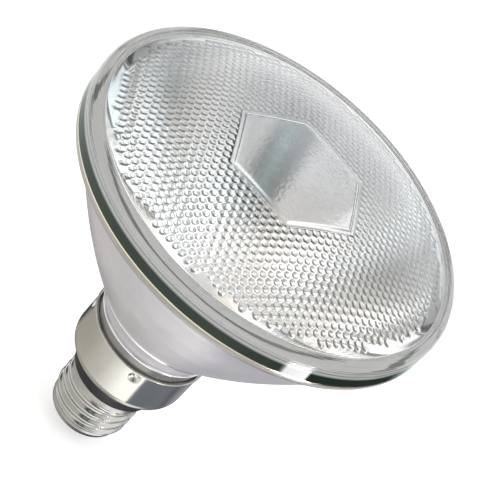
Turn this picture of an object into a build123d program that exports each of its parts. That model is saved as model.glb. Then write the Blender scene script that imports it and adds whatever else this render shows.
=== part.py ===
from build123d import *
import math
import os

os.makedirs("parts", exist_ok=True)

# The lamp stands on its axis, Z. The tip of the centre contact is the origin and the lens faces up.
# Sizes are in millimetres, and heights without another word are counted up from the contact tip.

# Small gaps between pieces
slip_fit = 0.15
seal_fit = 0.02

# Skirted screw cap
cap_length = 49.0  # contact tip to the top edge of the skirt
skirt_diameter = 39.0
skirt_height = 17.2
skirt_wall = 0.5
skirt_corner = 4.5  # outer radius of the drawn bottom corner
skirt_lip_bore = 24.0  # hole in the skirt's floor
skirt_edge_reach = 0.4  # how far the turned top edge stands out
skirt_edge_height = 0.8
crimp_count = 4
crimp_start_angle = -63.0
crimp_drop = 2.7  # top edge of the skirt down to the middle of a crimp
crimp_radius = 2.6
crimp_depth = 1.1

# Black insulating ring
collar_height = 5.7
collar_diameter = 28.8
ring_bore = 20.8
ring_spigot_depth = 0.8
ring_head_reach = 1.0  # how far the ring's head laps over the skirt's floor
ring_head_height = 1.0

# Screw shell
thread_diameter = 26.2
thread_depth = 1.0
thread_pitch = 3.629
thread_crest_radius = 1.025
thread_flank_angle = 59.0  # turn of the crest's arc down to the straight flank
thread_relief = 0.2  # how far the ridge runs into the plain wall
thread_run_in = 1.6  # height over which the thread rises out of the shell
shell_wall = 0.35
shell_band_diameter = 26.6
shell_band_height = 3.4
shell_lip_diameter = 19.0
shell_lip_height = 5.2
shell_cup_height = 4.2  # rounded lower end of the shell
shell_cup_bulge = 0.9

# Contact end
contact_diameter = 11.5
contact_thickness = 0.5
contact_bore = 2.0
contact_solder_diameter = 5.6
contact_solder_height = 1.1
cap_glass_foot_diameter = 12.8
cap_glass_plug_height = 3.6  # part of the glass that stands inside the shell
cap_glass_plug_lap = 1.1  # how far the plug is wider than the shell's lip

# Bowl and lens glass
rim_diameter = 121.0
bowl_height = 66.0  # top edge of the skirt to the seam under the lens
seam_width = 5.3
flange_band = 5.0
flange_roll = 2.7
flange_overhang = 3.0
flange_ledge = 0.9
bowl_bulge = 1.8
bowl_foot_diameter = 47.6
bowl_foot_height = 12.3  # top edge of the skirt to the foot of the bowl
upper_bead_drop = 1.4
upper_bead_setback = 1.0
upper_bead_rise = 0.35
cove_depth = 0.45
lower_bead_diameter = 39.6
lower_bead_radius = 0.6
neck_reveal = 3.4  # plain neck that shows above the skirt
neck_depth = 7.0  # how far the neck goes down into the skirt
neck_wall = 4.0
bowl_floor = 8.0  # top edge of the skirt to the bottom of the mirror
back_wall = 5.5
mirror_margin = 5.0  # top of the mirror to the seam
exhaust_tip_diameter = 5.2
exhaust_tip_length = 5.5

lens_rise = 14.2  # seam to the top of the dome
lens_thickness = 3.2
lens_band = 1.6
lens_roll = 2.6
lens_groove_width = 1.4
lens_groove_depth = 0.5
window_corner_radius = 21.3  # middle of the hexagonal window to a corner
window_rib_width = 2.3
window_rib_height = 0.7
window_rib_root = 0.3  # how far the rib runs into the lens

# Burner and its supports
post_spacing = 18.0
post_diameter = 2.0
post_reach = 6.2  # mirror's bottom to the top of a post
ferrule_diameter = 8.4
ferrule_wall = 0.5
ferrule_height = 4.6
coil_diameter = 1.8
coil_wire_diameter = 0.44
coil_pitch = 0.75
coil_turns = 8
lead_diameter = 0.6
lead_spacing = 5.6
lead_bend = 0.7
lead_overhang = 0.5  # how far a lead runs past the end of the coil
pinch_bottom_reach = 4.0  # mirror's bottom to the lower end of the pinch
pinch_width = 13.0
pinch_thickness = 4.0
burner_diameter = 11.0
burner_wall = 1.0
burner_floor_gap = 1.4  # below the coil
burner_head_gap = 4.6  # coil to the start of the rounded top
lead_drop = 1.1  # lower end of the pinch to the run of the leads

# Wires in the cap
wire_diameter = 0.8
wire_bend = 4.0
wire_straight = 6.0  # straight run below a post
contact_wire_joint_height = 33.0  # where the contact wire meets the axis
contact_wire_tip = 0.5
shell_wire_turn = 1.6  # height of the side wire's slant out to the shell
shell_wire_bend = 1.2
shell_solder_radius = 0.9
sleeve_wall = 0.6
sleeve_bottom = 4.0
sleeve_length = 24.0

# Levels along the axis
contact_bottom = contact_solder_height
contact_top = contact_bottom + contact_thickness
skirt_bottom = cap_length - skirt_height
shell_top = skirt_bottom - collar_height
band_bottom = shell_top - shell_band_height
cup_top = shell_lip_height + shell_cup_height
cap_glass_top = shell_lip_height + cap_glass_plug_height
crimp_level = cap_length - crimp_drop
neck_bottom = cap_length - neck_depth
neck_top = cap_length + neck_reveal
bowl_foot = cap_length + bowl_foot_height
mirror_bottom = cap_length + bowl_floor
back_level = mirror_bottom - back_wall
seam = cap_length + bowl_height
mirror_top = seam - mirror_margin
apex = seam + lens_rise
ferrule_bottom = back_level - ferrule_height
post_bottom = ferrule_bottom - post_diameter / 2
post_top = mirror_bottom + post_reach

# Radii of the turned pieces
rim_radius = rim_diameter / 2
bore_radius = rim_radius - seam_width
skirt_radius = skirt_diameter / 2
skirt_bore_radius = skirt_radius - skirt_wall
skirt_lip_radius = skirt_lip_bore / 2
neck_radius = skirt_bore_radius - 2 * slip_fit
neck_bore_radius = neck_radius - neck_wall
band_radius = shell_band_diameter / 2
thread_radius = thread_diameter / 2
root_radius = thread_radius - thread_depth
shell_lip_radius = shell_lip_diameter / 2
crimp_centre_radius = skirt_radius + crimp_radius - crimp_depth
wire_radius = wire_diameter / 2
lead_radius = lead_diameter / 2
post_radius = post_diameter / 2
post_offset = post_spacing / 2

# The mirror is a paraboloid, and the coil is centred on its focus
focal_length = bore_radius**2 / (4 * (mirror_top - mirror_bottom))
focus = mirror_bottom + focal_length
coil_length = coil_pitch * coil_turns
coil_bottom = focus - coil_length / 2
coil_top = focus + coil_length / 2

# The two faces of the lens dome share one centre
dome_edge_radius = rim_radius - lens_roll - lens_groove_width
roll_top = seam + lens_band + lens_roll
dome_sag = apex - roll_top
dome_radius = (dome_edge_radius**2 + dome_sag**2) / (2 * dome_sag)
dome_centre = apex - dome_radius
dome_inner_radius = dome_radius - lens_thickness


def dome_height(sphere_radius, radius):
    """Height of a dome face at a distance from the axis."""
    return dome_centre + math.sqrt(sphere_radius**2 - radius**2)


def dome_arc(sphere_radius, radius):
    """Arc of a dome face from the axis out to a radius."""
    half = radius / 2
    return ThreePointArc(
        (0, dome_height(sphere_radius, 0)),
        (half, dome_height(sphere_radius, half)),
        (radius, dome_height(sphere_radius, radius)),
    )


# Front lens: dome, rolled rim with a groove inside it, and a hexagonal rib under the dome
rib_outer_radius = window_corner_radius + window_rib_width / math.cos(math.pi / 6)
rib_top_radius = dome_inner_radius + window_rib_root
rib_low_radius = dome_inner_radius - window_rib_height
with BuildPart() as window_rib:
    with BuildSketch(Plane.XZ):
        with BuildLine():
            rib_top = dome_arc(rib_top_radius, rib_outer_radius)
            rib_low = dome_arc(rib_low_radius, rib_outer_radius)
            Line(rib_top @ 0, rib_low @ 0)
            Line(rib_top @ 1, rib_low @ 1)
        make_face()
    revolve(axis=Axis.Z)
    with BuildSketch(Plane.XY.offset(seam)):
        RegularPolygon(rib_outer_radius, 6)
        RegularPolygon(window_corner_radius, 6, mode=Mode.SUBTRACT)
    extrude(amount=lens_rise, mode=Mode.INTERSECT)

with BuildPart() as front_lens:
    with BuildSketch(Plane.XZ):
        with BuildLine():
            dome_outside = dome_arc(dome_radius, dome_edge_radius)
            groove = SagittaArc(dome_outside @ 1, (rim_radius - lens_roll, roll_top), -lens_groove_depth)
            roll = RadiusArc(groove @ 1, (rim_radius, roll_top - lens_roll), lens_roll)
            lens_edge = Line(roll @ 1, (rim_radius, seam))
            lens_land = Line(lens_edge @ 1, (bore_radius, seam))
            dome_inside = dome_arc(dome_inner_radius, bore_radius)
            Line(lens_land @ 1, dome_inside @ 1)
            Line(dome_inside @ 0, dome_outside @ 0)
        make_face()
    revolve(axis=Axis.Z)
    add(window_rib.part)
front_lens.part.label = "front_lens"
export_step(front_lens.part, "parts/front_lens.step")

# Reflector: mirror face, flange, bowl, two beads, neck with its crimp groove, and exhaust tip
flange_foot = seam - flange_band - flange_roll
bowl_head_radius = rim_radius - flange_overhang - flange_ledge
exhaust_radius = exhaust_tip_diameter / 2
lower_bead_face = lower_bead_diameter / 2 - lower_bead_radius
with BuildPart() as reflector:
    with BuildSketch(Plane.XZ):
        with BuildLine():
            mirror = Bezier((0, mirror_bottom), (bore_radius / 2, mirror_bottom), (bore_radius, mirror_top))
            flange = Polyline(
                mirror @ 1,
                (bore_radius, seam),
                (rim_radius, seam),
                (rim_radius, seam - flange_band),
            )
            under_flange = RadiusArc(flange @ 1, (rim_radius - flange_overhang, flange_foot), flange_overhang)
            ledge = Line(under_flange @ 1, (bowl_head_radius, flange_foot))
            bowl_side = SagittaArc(ledge @ 1, (bowl_foot_diameter / 2, bowl_foot), bowl_bulge)
            upper_bead = SagittaArc(
                bowl_side @ 1,
                (bowl_foot_diameter / 2 - upper_bead_setback, bowl_foot - upper_bead_drop),
                upper_bead_rise,
            )
            cove = SagittaArc(upper_bead @ 1, (lower_bead_face, neck_top + 2 * lower_bead_radius), -cove_depth)
            lower_bead = ThreePointArc(
                cove @ 1,
                (lower_bead_face + lower_bead_radius, neck_top + lower_bead_radius),
                (lower_bead_face, neck_top),
            )
            Polyline(
                lower_bead @ 1,
                (neck_radius, neck_top),
                (neck_radius, neck_bottom),
                (neck_bore_radius, neck_bottom),
                (neck_bore_radius, back_level),
                (exhaust_radius, back_level),
                (exhaust_radius, back_level - exhaust_tip_length + exhaust_radius),
            )
            tip = RadiusArc(
                (exhaust_radius, back_level - exhaust_tip_length + exhaust_radius),
                (0, back_level - exhaust_tip_length),
                exhaust_radius,
            )
            Line(tip @ 1, mirror @ 0)
        make_face()
    revolve(axis=Axis.Z)
    with Locations((0, 0, crimp_level)):
        Torus(crimp_centre_radius, crimp_radius + skirt_wall + slip_fit, mode=Mode.SUBTRACT)
    with Locations((-post_offset, 0, back_level), (post_offset, 0, back_level)):
        Cylinder(
            post_radius + seal_fit,
            2 * focal_length,
            align=(Align.CENTER, Align.CENTER, Align.CENTER),
            mode=Mode.SUBTRACT,
        )
reflector.part.label = "reflector"
export_step(reflector.part, "parts/reflector.step")

# Skirt: drawn cup with a hole in its floor, a turned top edge and crimps into the glass neck
with BuildPart() as skirt_form:
    with BuildSketch(Plane.XZ):
        with BuildLine():
            form_edge = Polyline(
                (0, cap_length),
                (skirt_radius + skirt_edge_reach, cap_length),
                (skirt_radius + skirt_edge_reach, cap_length - skirt_edge_height),
                (skirt_radius, cap_length - skirt_edge_height - skirt_edge_reach),
                (skirt_radius, skirt_bottom + skirt_corner),
            )
            form_corner = RadiusArc(form_edge @ 1, (skirt_radius - skirt_corner, skirt_bottom), skirt_corner)
            Polyline(form_corner @ 1, (0, skirt_bottom), (0, cap_length))
        make_face()
    revolve(axis=Axis.Z)

skirt_floor = skirt_bottom + skirt_wall
skirt_inner_corner = skirt_corner - skirt_wall
with BuildPart() as skirt:
    add(skirt_form.part)
    with BuildSketch(Plane.XZ):
        with BuildLine():
            bore_edge = Polyline(
                (0, cap_length),
                (skirt_bore_radius, cap_length),
                (skirt_bore_radius, skirt_floor + skirt_inner_corner),
            )
            bore_corner = RadiusArc(
                bore_edge @ 1, (skirt_bore_radius - skirt_inner_corner, skirt_floor), skirt_inner_corner
            )
            Polyline(
                bore_corner @ 1,
                (skirt_lip_radius, skirt_floor),
                (skirt_lip_radius, skirt_bottom),
                (0, skirt_bottom),
                (0, cap_length),
            )
        make_face()
    revolve(axis=Axis.Z, mode=Mode.SUBTRACT)
    with Locations((0, 0, crimp_level)):
        with PolarLocations(crimp_centre_radius, crimp_count, start_angle=crimp_start_angle):
            Sphere(crimp_radius + skirt_wall)
    with Locations((0, 0, crimp_level)):
        with PolarLocations(crimp_centre_radius, crimp_count, start_angle=crimp_start_angle):
            Sphere(crimp_radius, mode=Mode.SUBTRACT)
    add(skirt_form.part, mode=Mode.INTERSECT)
skirt.part.label = "skirt"
export_step(skirt.part, "parts/skirt.step")

# Insulating ring: spigot in the shell, collar that shows, and a head moulded over the skirt's floor
with BuildPart() as insulating_ring:
    with BuildSketch(Plane.XZ):
        with BuildLine():
            Polyline(
                (ring_bore / 2, shell_top - ring_spigot_depth),
                (band_radius - shell_wall - slip_fit, shell_top - ring_spigot_depth),
                (band_radius - shell_wall - slip_fit, shell_top),
                (collar_diameter / 2, shell_top),
                (collar_diameter / 2, skirt_bottom),
                (skirt_lip_radius - slip_fit, skirt_bottom),
                (skirt_lip_radius - slip_fit, skirt_floor),
                (skirt_lip_radius + ring_head_reach, skirt_floor),
                (skirt_lip_radius + ring_head_reach, skirt_floor + ring_head_height),
                (ring_bore / 2, skirt_floor + ring_head_height),
                close=True,
            )
        make_face()
    revolve(axis=Axis.Z)
insulating_ring.part.label = "insulating_ring"
export_step(insulating_ring.part, "parts/insulating_ring.step")


def threaded_plug(inset):
    """The screw shell as a solid plug, with its whole face set in by a wall."""
    core_radius = root_radius - inset
    shoulder = band_bottom + inset
    crest_centre = thread_radius - thread_crest_radius
    crest_radius = thread_crest_radius - inset
    flank = math.radians(thread_flank_angle)
    flank_radius = crest_centre + crest_radius * math.cos(flank)
    flank_half = crest_radius * math.sin(flank)
    foot_radius = core_radius - thread_relief
    foot_half = flank_half + (flank_radius - foot_radius) / math.tan(flank)
    ridge_start = cup_top - thread_pitch / 2
    turn_count = math.ceil((shoulder + foot_half - ridge_start) / thread_pitch)
    with BuildPart() as one_turn:
        with BuildLine():
            Helix(thread_pitch, thread_pitch, crest_centre, center=(0, 0, ridge_start))
        with BuildSketch(Plane.XZ):
            with BuildLine():
                crest = ThreePointArc(
                    (flank_radius, ridge_start - flank_half),
                    (crest_centre + crest_radius, ridge_start),
                    (flank_radius, ridge_start + flank_half),
                )
                Polyline(
                    crest @ 1,
                    (foot_radius, ridge_start + foot_half),
                    (foot_radius, ridge_start - foot_half),
                    crest @ 0,
                )
            make_face()
        sweep(is_frenet=True)
    # The ridge rises out of the wall through a cone, and its upper end is hidden in the band
    with BuildPart() as ridge:
        for turn in range(turn_count):
            with Locations((0, 0, turn * thread_pitch)):
                add(one_turn.part)
        with BuildSketch(Plane.YZ):
            with BuildLine():
                Polyline(
                    (0, cup_top - thread_run_in),
                    (core_radius - thread_depth, cup_top - thread_run_in),
                    (core_radius + 2 * thread_depth, cup_top + 2 * thread_run_in),
                    (core_radius + 2 * thread_depth, shell_top),
                    (0, shell_top),
                    close=True,
                )
            make_face()
        revolve(axis=Axis.Z, mode=Mode.INTERSECT)
    with BuildPart() as plug:
        with BuildSketch(Plane.YZ):
            with BuildLine():
                cup = SagittaArc(
                    (shell_lip_radius - inset, shell_lip_height),
                    (core_radius, cup_top),
                    -shell_cup_bulge,
                )
                Polyline(
                    cup @ 1,
                    (core_radius, shoulder),
                    (band_radius - inset, shoulder),
                    (band_radius - inset, shell_top),
                    (0, shell_top),
                    (0, shell_lip_height),
                    cup @ 0,
                )
            make_face()
        revolve(axis=Axis.Z)
        add(ridge.part)
    return plug.part


# Screw shell: one thin wall, open at both ends, with the thread on both its faces
with BuildPart() as screw_shell:
    add(threaded_plug(0))
    add(threaded_plug(shell_wall), mode=Mode.SUBTRACT)
screw_shell.part.label = "screw_shell"
export_step(screw_shell.part, "parts/screw_shell.step")

# Cap glass: black cone under the shell, with a plug inside its lower end and a hole for the wire
sleeve_radius = wire_radius + slip_fit + sleeve_wall
cap_glass_waist = shell_lip_radius - shell_wall - slip_fit
with BuildPart() as cap_glass:
    with BuildSketch(Plane.XZ):
        with BuildLine():
            Polyline(
                (sleeve_radius + slip_fit, contact_top),
                (cap_glass_foot_diameter / 2, contact_top),
                (cap_glass_waist, shell_lip_height - slip_fit),
                (cap_glass_waist, shell_lip_height + shell_wall),
                (cap_glass_waist + cap_glass_plug_lap, cap_glass_top),
                (sleeve_radius + slip_fit, cap_glass_top),
                close=True,
            )
        make_face()
    revolve(axis=Axis.Z)
cap_glass.part.label = "cap_glass"
export_step(cap_glass.part, "parts/cap_glass.step")

# Centre contact: brass disc with a hole for the wire
with BuildPart() as centre_contact:
    with BuildSketch(Plane.XY.offset(contact_bottom)):
        Circle(contact_diameter / 2)
        Circle(contact_bore / 2, mode=Mode.SUBTRACT)
    extrude(amount=contact_thickness)
    contact_edge = centre_contact.edges().filter_by(GeomType.CIRCLE).group_by(Axis.Z)[0].sort_by(SortBy.RADIUS)[-1]
    fillet(contact_edge, contact_thickness / 2)
centre_contact.part.label = "centre_contact"
export_step(centre_contact.part, "parts/centre_contact.step")


def wire_along(points, radius, bend):
    """Round wire along straight runs joined by bends, with its first run along Z."""
    first, second = Vector(points[0]), Vector(points[1])
    with BuildPart() as wire:
        with BuildLine():
            FilletPolyline(*points, radius=bend)
        with BuildSketch(Plane(origin=first, z_dir=second - first)):
            Circle(radius)
        sweep()
    return wire.part


# Ferrules sealed to the back of the bowl, and the posts brazed through them
for name, side in (("a", -1), ("b", 1)):
    with BuildPart() as ferrule:
        with BuildSketch(Plane.XY.offset(ferrule_bottom)):
            with Locations((side * post_offset, 0)):
                Circle(ferrule_diameter / 2)
                Circle(post_radius + seal_fit, mode=Mode.SUBTRACT)
        extrude(amount=ferrule_wall)
        with BuildSketch(Plane.XY.offset(ferrule_bottom)):
            with Locations((side * post_offset, 0)):
                Circle(ferrule_diameter / 2)
                Circle(ferrule_diameter / 2 - ferrule_wall, mode=Mode.SUBTRACT)
        extrude(amount=ferrule_height)
    ferrule.part.label = f"ferrule_{name}"
    export_step(ferrule.part, f"parts/ferrule_{name}.step")

    with BuildPart() as post:
        with BuildSketch(Plane.XY.offset(post_bottom)):
            with Locations((side * post_offset, 0)):
                Circle(post_radius)
        extrude(amount=post_top - post_bottom)
    post.part.label = f"post_{name}"
    export_step(post.part, f"parts/post_{name}.step")

# Filament: one coil of round wire, centred on the mirror's focus
coil_radius = coil_diameter / 2
with BuildPart() as filament:
    with BuildLine() as coil_line:
        Helix(coil_pitch, coil_length, coil_radius, center=(0, 0, coil_bottom))
    with BuildSketch(coil_line.line ^ 0):
        Circle(coil_wire_diameter / 2)
    sweep(is_frenet=True)
filament.part.label = "filament"
export_step(filament.part, "parts/filament.step")

# Filament leads: across the coil's end, down through the pinch, out to a post and up along it
lead_offset = lead_spacing / 2
pinch_bottom = mirror_bottom + pinch_bottom_reach
lead_run = pinch_bottom - lead_drop
weld_offset = post_offset - post_radius - lead_radius - seal_fit
coil_end_gap = coil_wire_diameter / 2 + lead_radius + seal_fit
for name, side, level, past in (
    ("a", -1, coil_top + coil_end_gap, coil_radius + lead_overhang),
    ("b", 1, coil_bottom - coil_end_gap, coil_radius - lead_overhang),
):
    lead = wire_along(
        [
            (side * weld_offset, 0, post_top),
            (side * weld_offset, 0, lead_run),
            (side * lead_offset, 0, lead_run),
            (side * lead_offset, 0, level),
            (past, 0, level),
        ],
        lead_radius,
        lead_bend,
    )
    lead.label = f"filament_lead_{name}"
    export_step(lead, f"parts/filament_lead_{name}.step")

# Burner: quartz tube with a round top and a flat pinch that the leads pass through
burner_radius = burner_diameter / 2
burner_bore = burner_radius - burner_wall
burner_floor = coil_bottom - burner_floor_gap
burner_shoulder = coil_top + burner_head_gap
with BuildPart() as burner_glass:
    with BuildSketch(Plane.XZ):
        with BuildLine():
            tube = Polyline(
                (0, burner_floor - burner_wall),
                (burner_radius, burner_floor - burner_wall),
                (burner_radius, burner_shoulder),
            )
            head = RadiusArc(tube @ 1, (0, burner_shoulder + burner_radius), -burner_radius)
            head_inside = RadiusArc((0, burner_shoulder + burner_bore), (burner_bore, burner_shoulder), burner_bore)
            Line(head @ 1, head_inside @ 0)
            Polyline(head_inside @ 1, (burner_bore, burner_floor), (0, burner_floor), tube @ 0)
        make_face()
    revolve(axis=Axis.Z)
    with BuildSketch(Plane.XY.offset(pinch_bottom)):
        Rectangle(pinch_width, pinch_thickness)
    extrude(amount=burner_floor - burner_wall / 2 - pinch_bottom)
    with BuildSketch(Plane.XY.offset(pinch_bottom)):
        with Locations((-lead_offset, 0), (lead_offset, 0)):
            Circle(lead_radius + seal_fit)
    extrude(amount=burner_floor - pinch_bottom, mode=Mode.SUBTRACT)
burner_glass.part.label = "burner_glass"
export_step(burner_glass.part, "parts/burner_glass.step")

# Contact wire: from one post to the axis and down to the contact
contact_wire = wire_along(
    [
        (-post_offset, 0, post_bottom),
        (-post_offset, 0, post_bottom - wire_straight),
        (0, 0, contact_wire_joint_height),
        (0, 0, contact_wire_tip),
    ],
    wire_radius,
    wire_bend,
)
contact_wire.label = "contact_wire"
export_step(contact_wire, "parts/contact_wire.step")

# Contact solder: a drop on the disc that holds the tip of the wire
solder_edge = (contact_solder_diameter / 2, contact_solder_height)
with BuildPart() as contact_solder:
    with BuildSketch(Plane.XZ):
        with BuildLine():
            drop_sag = contact_solder_height
            drop_radius = (solder_edge[0] ** 2 + drop_sag**2) / (2 * drop_sag)
            drop = RadiusArc((0, 0), solder_edge, -drop_radius)
            Polyline(drop @ 1, (0, contact_solder_height), (0, 0))
        make_face()
    revolve(axis=Axis.Z)
    add(contact_wire, mode=Mode.SUBTRACT)
contact_solder.part.label = "contact_solder"
export_step(contact_solder.part, "parts/contact_solder.step")

# Sleeve: insulating tube on the straight part of the contact wire
with BuildPart() as wire_sleeve:
    with BuildSketch(Plane.XY.offset(sleeve_bottom)):
        Circle(sleeve_radius)
        Circle(wire_radius + slip_fit, mode=Mode.SUBTRACT)
    extrude(amount=sleeve_length)
wire_sleeve.part.label = "wire_sleeve"
export_step(wire_sleeve.part, "parts/wire_sleeve.step")

# Shell wire: from the other post straight down, then slanting out to the shell's band
band_bore = band_radius - shell_wall
shell_wire_end = (band_bore - wire_radius - slip_fit, 0, band_bottom + 2 * shell_wall)
shell_wire = wire_along(
    [
        (post_offset, 0, post_bottom),
        (post_offset, 0, shell_wire_end[2] + shell_wire_turn),
        shell_wire_end,
    ],
    wire_radius,
    shell_wire_bend,
)
shell_wire.label = "shell_wire"
export_step(shell_wire, "parts/shell_wire.step")

# Shell solder: a drop that joins the end of the side wire to the inside of the band
with BuildPart() as shell_solder:
    with Locations((band_bore - shell_solder_radius / 2, 0, band_bottom + shell_wall + shell_solder_radius)):
        Sphere(shell_solder_radius)
    with Locations((0, 0, band_bottom)):
        Cylinder(
            band_bore,
            shell_band_height,
            align=(Align.CENTER, Align.CENTER, Align.MIN),
            mode=Mode.INTERSECT,
        )
    add(shell_wire, mode=Mode.SUBTRACT)
shell_solder.part.label = "shell_solder"
export_step(shell_solder.part, "parts/shell_solder.step")
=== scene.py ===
import math

import bmesh
import bpy
import numpy as np
from mathutils import Matrix, Vector


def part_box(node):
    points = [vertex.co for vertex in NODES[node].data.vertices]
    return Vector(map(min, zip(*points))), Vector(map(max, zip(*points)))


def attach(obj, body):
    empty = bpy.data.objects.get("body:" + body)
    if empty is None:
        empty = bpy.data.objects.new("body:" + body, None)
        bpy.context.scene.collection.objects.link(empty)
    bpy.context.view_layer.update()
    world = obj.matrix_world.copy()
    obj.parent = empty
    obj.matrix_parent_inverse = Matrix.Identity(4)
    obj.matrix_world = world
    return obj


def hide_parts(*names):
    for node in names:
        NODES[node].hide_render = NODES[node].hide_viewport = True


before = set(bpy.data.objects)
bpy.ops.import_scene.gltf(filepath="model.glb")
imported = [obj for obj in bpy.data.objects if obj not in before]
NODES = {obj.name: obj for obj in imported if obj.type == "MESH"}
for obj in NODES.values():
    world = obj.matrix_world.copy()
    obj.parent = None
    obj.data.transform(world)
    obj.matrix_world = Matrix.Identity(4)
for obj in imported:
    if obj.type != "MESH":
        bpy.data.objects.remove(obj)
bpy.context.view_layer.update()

# Sizes are in millimetres with the contact tip at the origin, and meshes are written in metres.
MM = 0.001

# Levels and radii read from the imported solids
lens_low, lens_high = (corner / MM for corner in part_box("front_lens"))
skirt_low, skirt_high = (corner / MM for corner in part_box("skirt"))
shell_low, shell_high = (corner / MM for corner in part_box("screw_shell"))
bowl_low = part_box("reflector")[0] / MM
rim_radius = lens_high.x
seam = lens_low.z
apex = lens_high.z
skirt_top = skirt_high.z
skirt_bottom = skirt_low.z
shell_top = shell_high.z
shell_bottom = shell_low.z
neck_bottom = bowl_low.z

# Lens glass
lens_thickness = 3.2
lens_band = 1.6
lens_roll = 2.6
lens_groove_width = 1.4
lens_groove_depth = 0.5
seam_width = 5.3
seam_gap = 0.03
stipple_pitch = 2.49
stipple_height = 0.42
stipple_field_radius = 52.5
window_apothem = 18.446
window_turn = math.radians(30.0)
window_rib_width = 2.3
window_rib_height = 0.7
window_rib_ramp = 0.75

# Bowl glass
flange_band = 5.0
# The flange's painted reflection turns from dark to pale between these depths below the seam
flange_painted_reflection_top = 0.25
flange_painted_reflection_low = 1.1
# Painted highlight: a thin cream-gold band at the flange's lower edge, its top this far below the seam and
# this tall
painted_highlight_line_top = 4.0
painted_highlight_line_height = 0.45
flange_roll = 2.7
flange_overhang = 3.0
flange_roll_bulge = 0.78
flange_ledge = 0.9
bowl_bulge = 1.8
bowl_foot_radius = 23.8
bowl_foot_height = 12.3
bead_drop = 1.4
bead_setback = 1.0
bead_rise = 0.35
cove_depth = 0.45
lower_bead_radius = 0.6
lower_bead_face = 19.2
neck_radius = 18.7
neck_bore = 14.7
neck_reveal = 3.4
mirror_floor = 8.0
mirror_margin = 5.0
back_wall = 5.5
tip_radius = 2.6
tip_length = 5.5
crimp_groove_radius = 3.25
crimp_groove_centre = 21.0

# Skirt
skirt_radius = 19.5
skirt_wall = 0.5
skirt_corner = 4.5
skirt_lip_bore = 12.0
skirt_edge_reach = 0.4
skirt_edge_height = 0.8
skirt_edge_roll = 0.12
crimp_count = 4
crimp_start = math.radians(-63.0)
crimp_drop = 2.7
crimp_depth = 1.1
crimp_reach = 2.4

# Screw shell
thread_radius = 13.1
thread_depth = 1.0
thread_pitch = 3.629
thread_run_in = 1.6
thread_run_out = 0.8
shell_wall = 0.35
shell_band_radius = 13.3
shell_band_height = 3.4
shell_band_step = 0.5
shell_band_curl = 0.15
shell_lip_radius = 9.5
shell_cup_height = 4.2
shell_cup_bulge = 0.9

# Fineness of the meshes, how near two points count as one, and the angles in degrees that stay sharp
lens_segments = 240
dome_rings = 24
stipple_steps = 6
grid_spare = 1.2
bowl_segments = 240
bowl_side_steps = 40
mirror_rings = 48
skirt_segments = 288
skirt_wall_rows = 40
shell_segments = 160
thread_rows = 112
card_segments = 96
tiny_arc_steps = 6
small_arc_steps = 8
middle_arc_steps = 10
large_arc_steps = 12
same_point = 0.001
lens_sharp_angle = 50
turned_sharp_angle = 35

# Finishes: refraction, the part of the noise that is used, the lines of ringed films, and the tones of the
# flange's painted reflection
lens_refraction = 1.48
quartz_refraction = 1.46
noise_low = 0.3
noise_high = 0.7
ring_line_edge = 0.37
ring_line_blur = 0.05
# Painted reflection on the flange: the dark green of reflected dark surroundings, and the pale toward the
# lens
flange_painted_dark_reflection = (0.020, 0.034, 0.025)
flange_painted_pale_reflection = (0.62, 0.64, 0.62)

# View: where the lens seam's centre lies in the 480 x 480 picture, and how the camera stands
picture_side = 480.0
aim_pixel = Vector((275.6, 196.5))
focal_pixels = 1821.0
view_distance = 508.0
view_azimuth = math.radians(11.3)
view_elevation = math.radians(36.49)
view_lean = math.radians(42.34)
view_clip_start = 10.0
view_clip_end = 50000.0
sensor_width = 36.0


def grey(level):
    return (level, level, level)


# Stage: floor, sky by height, and one lamp placed from the lens seam to the right, up and back of the view
floor_side = 12000.0
floor_colour = grey(0.80)
floor_glow = 0.55
WORLD_TONES = [
    (0.0, grey(0.66)),
    (0.5, grey(0.58)),
    (0.71, (0.81, 0.77, 0.72)),
    (0.87, (0.76, 0.74, 0.71)),
    (0.95, grey(0.92)),
    (1.0, grey(1.30)),
]
softbox_offset = (-350.0, 550.0, 450.0)
softbox_side = 500.0
softbox_power = 0.8

# Floor rings for reflections: inner and outer radius, and tones by degrees to the right of the camera
card_height = 0.3
CARDS = {
    "skirt_card": (41.0, 105.0, [
        (-180, grey(0.05)),
        (-132, grey(0.05)),
        (-112, (0.52, 0.50, 0.46)),
        (-60, (0.70, 0.68, 0.62)),
        (-20, (0.95, 0.94, 0.90)),
        (0, (1.35, 1.35, 1.32)),
        (18, (1.85, 1.85, 1.80)),
        (41, (1.95, 1.95, 1.90)),
        (43, (0.24, 0.27, 0.32)),
        (92, (0.26, 0.29, 0.34)),
        (106, (0.17, 0.19, 0.22)),
        (122, (0.38, 0.38, 0.43)),
        (148, (0.36, 0.36, 0.40)),
        (158, grey(0.05)),
    ]),
    "shell_card": (17.0, 41.0, [
        (-180, grey(0.06)),
        (-125, grey(0.06)),
        (-98, (0.50, 0.49, 0.46)),
        (25, (0.68, 0.67, 0.65)),
        (42, grey(1.25)),
        (72, (1.25, 1.25, 1.30)),
        (88, (0.30, 0.31, 0.34)),
        (150, grey(0.06)),
    ]),
    "shell_foot_card": (0.0, 17.0, [
        (-180, grey(0.08)),
        (-100, grey(0.10)),
        (-60, (0.48, 0.47, 0.45)),
        (-12, (0.38, 0.38, 0.37)),
        (10, grey(0.20)),
        (60, (0.10, 0.10, 0.11)),
    ]),
    "flange_card": (165.0, 222.0, [
        (-180, (0.95, 1.00, 0.97)),
        (20, (0.80, 0.84, 0.76)),
        (56, (0.30, 0.32, 0.27)),
        (57, grey(14.0)),
        (69, grey(14.0)),
        (70, grey(0.04)),
        (122, grey(0.04)),
        (140, (0.90, 1.05, 1.05)),
    ]),
}

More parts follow.
